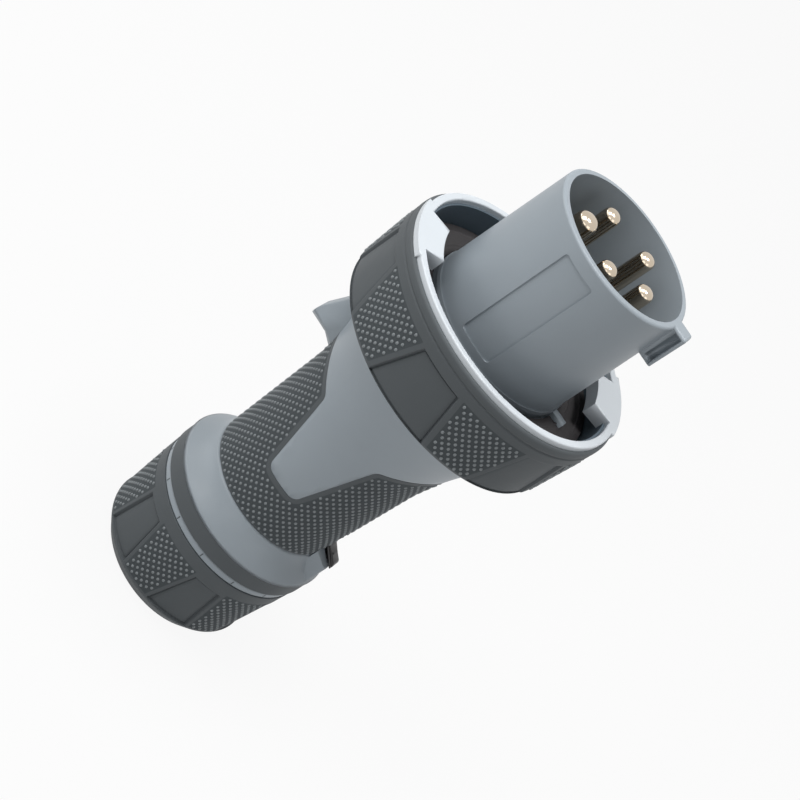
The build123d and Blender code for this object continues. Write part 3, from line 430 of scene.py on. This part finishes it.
# The first pad's angle, the lower and upper ends of the pads, half their width there.
ring_pads = (30.0, 168.5, 195.3, 18.0, 11.0)
ring_field_low, ring_field_high = 169.9, 196.1
ring_foot, ring_edge = (57.65, 169.7), (58.85, 194.2)
ring_hard_radius = 56.9
section_step = 0.8
row_below_edge = 0.5
ring_section = divided(eased([
    (56.0, 204.7), (58.5, 204.7), (59.15, 203.9), (59.3, 202.2), (59.27, 201.2), (58.7, 200.5),
    (59.2, 199.8), (59.1, 197.6), (59.05, 196.0), ring_edge, (58.8, 193.2), ring_foot,
    (56.8, 168.5), (54.2, 168.5), (54.2, 172.7), (56.0, 172.7),
], [0.02, 0.3, 0.5, 1, 0.15, 0.25, 0.15, 0.2, 0.4, 0.6, 0.02, 0.6, 0.3, 0.02, 0.02, 0.02]),
    section_step, (193.2, 196.0))
ring_soft = grip_with_pads(
    "ring_grip_soft", ring_section, ring_pads, ring_hard_radius, False, ring_field_low, ring_field_high
)
# The dotted field gets the darker grey of painted shade between the dots.
dress(ring_soft, grip_elastomer, "locking_ring", "grip_dark", "ring_grip", marked=field_shade_elastomer)
turn, rise = lattice(170.9, ring_field_high - row_below_edge, pitch=3.65, count=102, phase=0.66)
turn, rise = between_pads(turn, rise, ring_pads, clear=0.7)
radius, slope = on_cone(ring_foot, ring_edge, rise)
ring_dots = raised_dots(
    "ring_grip_dots", radius, slope, np.radians(turn), rise, length=1.75, width=1.5, stand=0.5
)
# The dots are drawn lighter, as a painted highlight on their tops.
dress(ring_dots, dot_highlight_elastomer, "locking_ring", "grip_dark")

# Handle shell: the hard half of the two-shot handle, with the pale front and its long
# panels, the holding fin, the flare and the block that guides the slide. Moulded first,
# in the shroud's polyamide.
softened("handle_moulding", "handle_shell", pale_polyamide, "housing", "shell_light")

# Handle grip: the soft half of the same elastomer as the ring's, moulded into the
# shell's pocket flush with it, dotted all over but for a smooth margin along its edges.
grip_low, grip_margin, foot_margin = 68.0, 2.6, 1.2
grip_wall, grip_mean_radius = 2.2, 35.0
neck_height, mouth_height, waist, neck, mouth = 122.0, 165.0, 32.9, 34.7, 45.3


def handle_radius(z):
    """Outer line of the handle: straight from the waist to the neck, then a cubic curve to
    the mouth that leaves at (0.1, 1), arrives at (0.43, 1) and has its chord's length as
    the size of both end slopes."""
    t = np.linspace(0, 1, 200)
    chord = np.hypot(mouth - neck, mouth_height - neck_height)
    start = np.array([0.1, 1]) / np.hypot(0.1, 1) * chord
    end = np.array([0.43, 1]) / np.hypot(0.43, 1) * chord
    a, b = np.array([neck, neck_height]), np.array([mouth, mouth_height])
    t = t[:, None]
    curve = ((2 * t ** 3 - 3 * t ** 2 + 1) * a + (t ** 3 - 2 * t ** 2 + t) * start
             + (3 * t ** 2 - 2 * t ** 3) * b + (t ** 3 - t ** 2) * end)
    straight = waist + (neck - waist) * (z - grip_low) / (neck_height - grip_low)
    return np.where(z < neck_height, straight, np.interp(z, curve[:, 1], curve[:, 0]))


def grip_top(angle):
    """Upper end of the grip at an angle round the handle. The edge is drawn flat, seen
    along Y: z 92 up to x 8.7 with a 4 mm corner, then up to x 18 at z 131.2 and x 34.7 at
    z 139.9, and it is met where x / handle radius is the cosine of the angle."""
    x = np.array([0, 5.2, 6.6, 7.9, 8.75, 9.25, 9.8, 17.6, 18.4, 34.7, 50])
    z = np.array([92, 92.0, 92.25, 92.85, 93.75, 94.9, 96.8, 130.0, 131.5, 139.9, 139.9])
    xs = np.linspace(0, 50, 1000)
    zs = np.interp(xs, x, z)
    fold = np.arccos(np.clip(xs / handle_radius(zs), 0, 1))
    return np.interp(np.arccos(np.abs(np.cos(angle))), fold[::-1], zs[::-1])


block_half, block_top = 9.0, 73.1
slot_half, slot_top = 2.8, 83.9


def grip_bottom(angle):
    """Lower end of the grip, raised over the guide block and higher over the slide's slot."""
    y = waist * np.sin(angle)
    key_side = np.cos(angle) > 0
    end = np.where(key_side & (np.abs(y) < block_half), block_top, grip_low)
    return np.where(key_side & (np.abs(y) < slot_half), slot_top, end)


def set_in(angle, edge, side, margin):
    """The line that keeps the margin from an edge of the grip, below it where side is -1:
    over the angles up to one margin away, the least of side times the edge's height there
    less the chord sqrt(margin^2 - distance^2)."""
    away = np.linspace(-1, 1, 15)[:, None] * margin
    spare = np.sqrt(margin ** 2 - away ** 2)
    return side * (side * edge(angle[None] + away / grip_mean_radius) + spare).max(0)


# A column each degree, and two a hair apart at each step of the lower edge.
hair = 1e-5
cuts = np.arcsin(np.array([block_half, slot_half]) / waist)[:, None] + np.array([-hair, hair])
steps_round = np.concatenate([np.radians(np.arange(360)), cuts.ravel(), -cuts.ravel() % (2 * np.pi)])
steps_round.sort()
low_end, top_end = grip_bottom(steps_round)[None], grip_top(steps_round)[None]
field_low = set_in(steps_round, grip_bottom, 1, foot_margin)[None]
field_top = set_in(steps_round, grip_top, -1, grip_margin)[None]
# Both ends are rounded off over the lip, whose rows lie this far in from the end.
lip = np.array([0, 0.12, 0.3, 0.55, 1.0])[:, None]
lip_drop, lip_width = 0.45, 0.55
drop = lip_drop * (1 - np.clip(lip / lip_width, 0, 1)) ** 2
middle = np.linspace(0, 1, 60)[:, None]
z_out = np.concatenate([low_end + lip, field_low + middle * (field_top - field_low), top_end - lip[::-1]])
# The edges along the slot fall away too, so that the slide's wings pass over them.
slot_drop, slot_drop_width, slot_drop_top = 0.35, 1.5, 86
beside = np.clip((np.abs(waist * np.sin(steps_round)) - slot_half) / slot_drop_width, 0, 1)[None]
along = (z_out < slot_drop_top) & (np.cos(steps_round) > 0)
fall = np.concatenate([drop, 0 * middle, drop[::-1]]) + slot_drop * (1 - beside) ** 2 * along
z_in = np.concatenate([top_end, low_end])
radius = np.concatenate([handle_radius(z_out) - fall, handle_radius(z_in) - grip_wall])
height = np.concatenate([z_out, z_in])
row = np.broadcast_to(np.arange(len(height))[:, None], height.shape)
field = (row >= len(lip)) & (row < len(lip) + len(middle) - 1)
handle_soft = closed_skin("handle_grip_soft", radius, steps_round[None] + 0 * radius, height, field)
# The dotted field gets the darker grey of painted shade between the dots.
dress(handle_soft, grip_elastomer, "housing", "grip_dark", "handle_grip", marked=field_shade_elastomer)

# Dots keep clear of the margins' lines and of the fin's foot.
dot_below_top, dot_above_foot = 0.6, 0.3
fin_half, fin_foot = 7.0, 124
turn, rise = lattice(69.65, 140, pitch=3.66, count=58, phase=2.6)
turn = np.radians(turn)
below_top = rise < set_in(turn, grip_top, -1, grip_margin) - dot_below_top
above_foot = rise > set_in(turn, grip_bottom, 1, foot_margin) + dot_above_foot
under_fin = (np.cos(turn) < 0) & (np.abs(grip_mean_radius * np.sin(turn)) < fin_half) & (rise > fin_foot)
keep = below_top & above_foot & ~under_fin
turn, rise = turn[keep], rise[keep]
lean = handle_radius(rise + 0.5) - handle_radius(rise - 0.5)
handle_dots = raised_dots(
    "handle_grip_dots", handle_radius(rise), lean, turn, rise, length=1.7, width=1.4, stand=0.42
)
# The dots are drawn lighter, as a painted highlight on their tops.
dress(handle_dots, dot_highlight_elastomer, "housing", "grip_dark")

# End band and the slide lock: a soft band moulded round the end of the handle, and the
# black polyamide slide, pushed up by the thumb, whose tongue blocks the gland nut.
softened("end_band_soft", "end_band", grip_elastomer, "housing", "grip_dark")
# Black polyamide, smoother than the housing and a little glossy.
black_polyamide = moulded("black moulded polyamide", "#141315", 0.36, 0.8 * mm, 0.008 * mm)
softened("slide_moulding", "lock_slide", black_polyamide, "lock_slide", "slide_black")

# Cable gland inside the nut: rubber seal, clamping cage and the white slip washer, laid
# one on another in the end of the handle and pressed together by the nut.
softened("seal_bush", "gland_seal", nitrile, "housing", "seal_black")
softened("cage_moulding", "clamp_cage", dark_polyamide, "housing", "carrier_dark")
# Acetal: white, waxy and slippery.
acetal = moulded("white acetal", "#d9d9d4", 0.35, 0.8 * mm, 0.006 * mm)
softened("washer_disc", "slip_washer", acetal, "slip_washer", "washer_white")

# Gland nut: a hard core with a pale bead at its front, and a soft grip moulded over it
# with six sunk pads and raised dots, like the locking ring's.
softened("nut_core", "gland_nut", pale_polyamide, "gland_nut", "shell_light", turned_to=60)
nut_pads = (-2.0, 7.0, 34.6, 16.7, 10.3)
nut_field_low, nut_field_high = 7.6, 36.6
nut_foot, nut_edge = (38.65, 6.0), (40.75, 43.0)
nut_hard_radius = 37.6
nut_section = divided(eased([
    (35.86, 43.0), nut_edge, (40.4, 36.6), (40.36, 35.8), (40.17, 32.8), (38.83, 8.9),
    (38.65, 6.3), (33.65, 0.0), (29.86, 0.0), (34.86, 6.0),
], [0.02, 0.4, 0.02, 0.02, 0.02, 0.02, 1.2, 0.5, 0.02, 0.02]),
    section_step, (32.8, 35.8), (6.4, 8.9))
nut_soft = grip_with_pads(
    "nut_grip_soft", nut_section, nut_pads, nut_hard_radius, True, nut_field_low, nut_field_high
)
# The dotted field gets the darker grey of painted shade between the dots.
dress(nut_soft, grip_elastomer, "gland_nut", "grip_dark", "nut_grip", marked=field_shade_elastomer)
turn, rise = lattice(8.85, nut_field_high - row_below_edge, pitch=3.8, count=70, phase=0.96)
turn, rise = between_pads(turn, rise, nut_pads, clear=0.9)
radius, slope = on_cone(nut_foot, nut_edge, rise)
nut_dots = raised_dots(
    "nut_grip_dots", radius, slope, np.radians(turn), rise, length=1.75, width=1.5, stand=0.45
)
# The dots are drawn lighter, as a painted highlight on their tops.
dress(nut_dots, dot_highlight_elastomer, "gland_nut", "grip_dark")

# Small marks across the bead, where the soft grip runs through slots in it: each is a
# strip of one closed outline that follows the bead's round edges, moulded with the grip.
mark_count, mark_width, mark_first = 14, 0.5, -107.2
bead_radius = 40.5
outline = np.array([
    (39.6, 43.1), (40.25, 43.25), (40.55, 43.9), (40.55, 45.6), (40.25, 46.25), (39.6, 46.4),
])
turn = np.radians(mark_first + np.arange(mark_count) * 360 / mark_count)[:, None, None]
swing = turn + np.array([-1, 1])[None, :, None] * mark_width / 2 / bead_radius
ends = np.stack(np.broadcast_arrays(
    outline[:, 0] * np.cos(swing), outline[:, 0] * np.sin(swing), outline[:, 1]), -1)
corners = len(outline)
k = np.arange(corners)
ahead = (k + 1) % corners
start = np.arange(mark_count)[:, None, None] * 2 * corners
sides = (start + np.stack([k, ahead, corners + ahead, corners + k], -1)[None]).reshape(-1, 4)
caps = (start[:, 0] + np.array([k[::-1], corners + k])[:, None]).reshape(-1, corners)
bead_marks = mesh_piece("nut_bead_marks", ends.reshape(-1, 3), sides.tolist() + caps.tolist())
dress(bead_marks, grip_elastomer, "gland_nut", "grip_dark")

# The studio: a pale sweep of floor under the standing plug, soft boxes from the upper
# left, straight at the contacts and along the left edge, weak ones elsewhere, and the
# camera where the photographer stood.
floor_half = 6.0
floor = mesh_piece(
    "studio_floor",
    np.array([(-1, -1, 0), (1, -1, 0), (1, 1, 0), (-1, 1, 0)]) * floor_half / mm,
    [(0, 1, 2, 3)],
)
# Matt paper: a light grey for the light on it, white where the camera looks at it.
paper = bpy.data.materials.new("white paper sweep")
paper.use_nodes = True
paper_shader = paper.node_tree.nodes["Principled BSDF"]
paper_shader.inputs["Base Color"].default_value = linear("#c8c8c8")
paper_shader.inputs["Roughness"].default_value = 0.9


def seen_white(owner, plain, white):
    """Plain for the light that falls on things, and white for what the camera sees, also in
    gloss and through glass: plain + (white - plain) times the greatest of the three rays."""
    path = add_node(owner, "ShaderNodeLightPath").outputs
    seen = add_node(
        owner, "ShaderNodeMath", {0: path["Is Camera Ray"], 1: path["Is Glossy Ray"]}, operation="MAXIMUM"
    )
    seen = add_node(
        owner, "ShaderNodeMath", {0: seen.outputs[0], 1: path["Is Transmission Ray"]}, operation="MAXIMUM"
    )
    return add_node(
        owner, "ShaderNodeMapRange", {"Value": seen.outputs[0]}, {"To Min": plain, "To Max": white}
    )


share = seen_white(paper, 0.0, 0.92)
glow = add_node(paper, "ShaderNodeEmission", (), {"Color": (1, 1, 1, 1), "Strength": 1.0})
both = add_node(
    paper, "ShaderNodeMixShader",
    {0: share.outputs["Result"], 1: paper_shader.outputs[0], 2: glow.outputs[0]},
)
paper.node_tree.links.new(both.outputs[0], paper.node_tree.nodes["Material Output"].inputs["Surface"])
floor.data.materials.append(paper)

middle_of_plug = Vector((0, 0, 0.13))
light_distance = 1.4


def soft_light(name, direction, size, level):
    """A square area light aimed at the plug. A white surface facing it gets a radiance of
    level, for which the power is level times pi squared times the distance squared."""
    lamp = bpy.data.lights.new(name, "AREA")
    lamp.size = size
    lamp.energy = level * np.pi ** 2 * light_distance ** 2
    light = bpy.data.objects.new(name, lamp)
    bpy.context.scene.collection.objects.link(light)
    aim = Vector(direction).normalized()
    light.location = middle_of_plug + aim * light_distance
    light.rotation_euler = aim.to_track_quat("Z", "Y").to_euler()


soft_light("key_light", (-0.5, -0.3, 0.8), size=0.7, level=0.4)
soft_light("front_light", (0.0, 0.0, 1.0), size=0.4, level=0.6)
soft_light("edge_light", (-1.0, 0.0, 0.2), size=0.7, level=0.2)
soft_light("left_light", (-0.8, -0.5, 0.45), size=0.7, level=0.1)
soft_light("camera_light", (0.0, -1.0, 0.3), size=0.7, level=0.1)
soft_light("fill_light", (0.7, -0.6, 0.4), size=0.7, level=0.08)

world = bpy.data.worlds.new("studio")
bpy.context.scene.world = world
world.use_nodes = True
world.node_tree.nodes["Background"].inputs["Color"].default_value = (1, 1, 1, 1)
sky = seen_white(world, 0.2, 0.97)
world.node_tree.links.new(sky.outputs["Result"], world.node_tree.nodes["Background"].inputs["Strength"])

# The camera's place and turn were fitted to the round edges in the photograph. Right, up
# and back are its own axes, written in the plug's frame.
camera = bpy.data.objects.new("camera", bpy.data.cameras.new("camera"))
bpy.context.scene.collection.objects.link(camera)
camera.data.sensor_width = 36.0
camera.data.lens = 99.0
right, up, back = (0.5631, 0.4139, 0.7153), (-0.8264, 0.2821, 0.4874), (0.0, -0.8655, 0.5009)
place = Matrix.Translation((-0.0007, -0.7703, 0.5865))
camera.matrix_world = place @ Matrix((right, up, back)).transposed().to_4x4()
bpy.context.scene.camera = camera
bpy.context.scene.view_settings.view_transform = "Standard"
